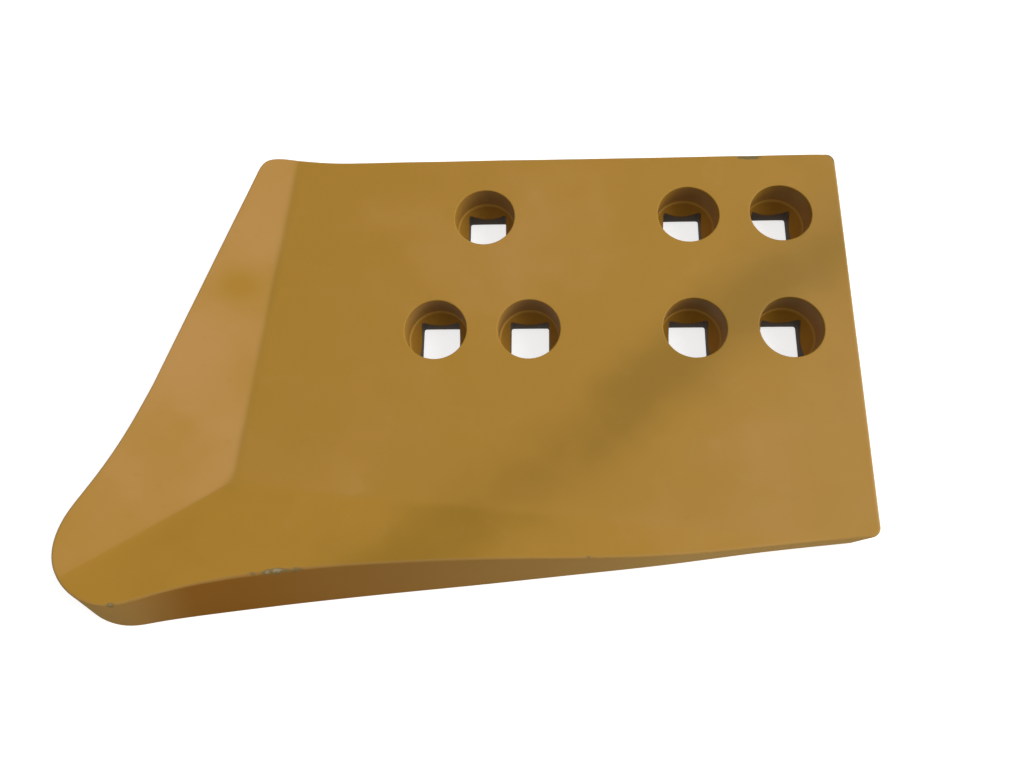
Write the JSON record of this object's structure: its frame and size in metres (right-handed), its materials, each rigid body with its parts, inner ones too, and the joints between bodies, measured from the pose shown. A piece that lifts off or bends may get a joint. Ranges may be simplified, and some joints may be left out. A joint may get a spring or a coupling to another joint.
{
  "type": "dozer end bit",
  "caption": "Thick swept end bit for a dozer blade, ochre painted steel, with a drooping round nose, raised facets and recessed square-neck bolt holes.",
  "frame": {"origin": "centre of the outer box in plan, on the flat back face that bolts to the blade", "axes": "+Z out of the front face, +X from the nose to the square end, +Y from the cutting edge to the straight top edge"},
  "size_m": [0.6294, 0.3946, 0.0695],
  "materials": {
    "ochre_paint": "satin ochre enamel over forged steel, dulled and scuffed"
  },
  "bodies": {
    "root": {"end_bit": "ochre_paint"}
  },
  "joints": []
}
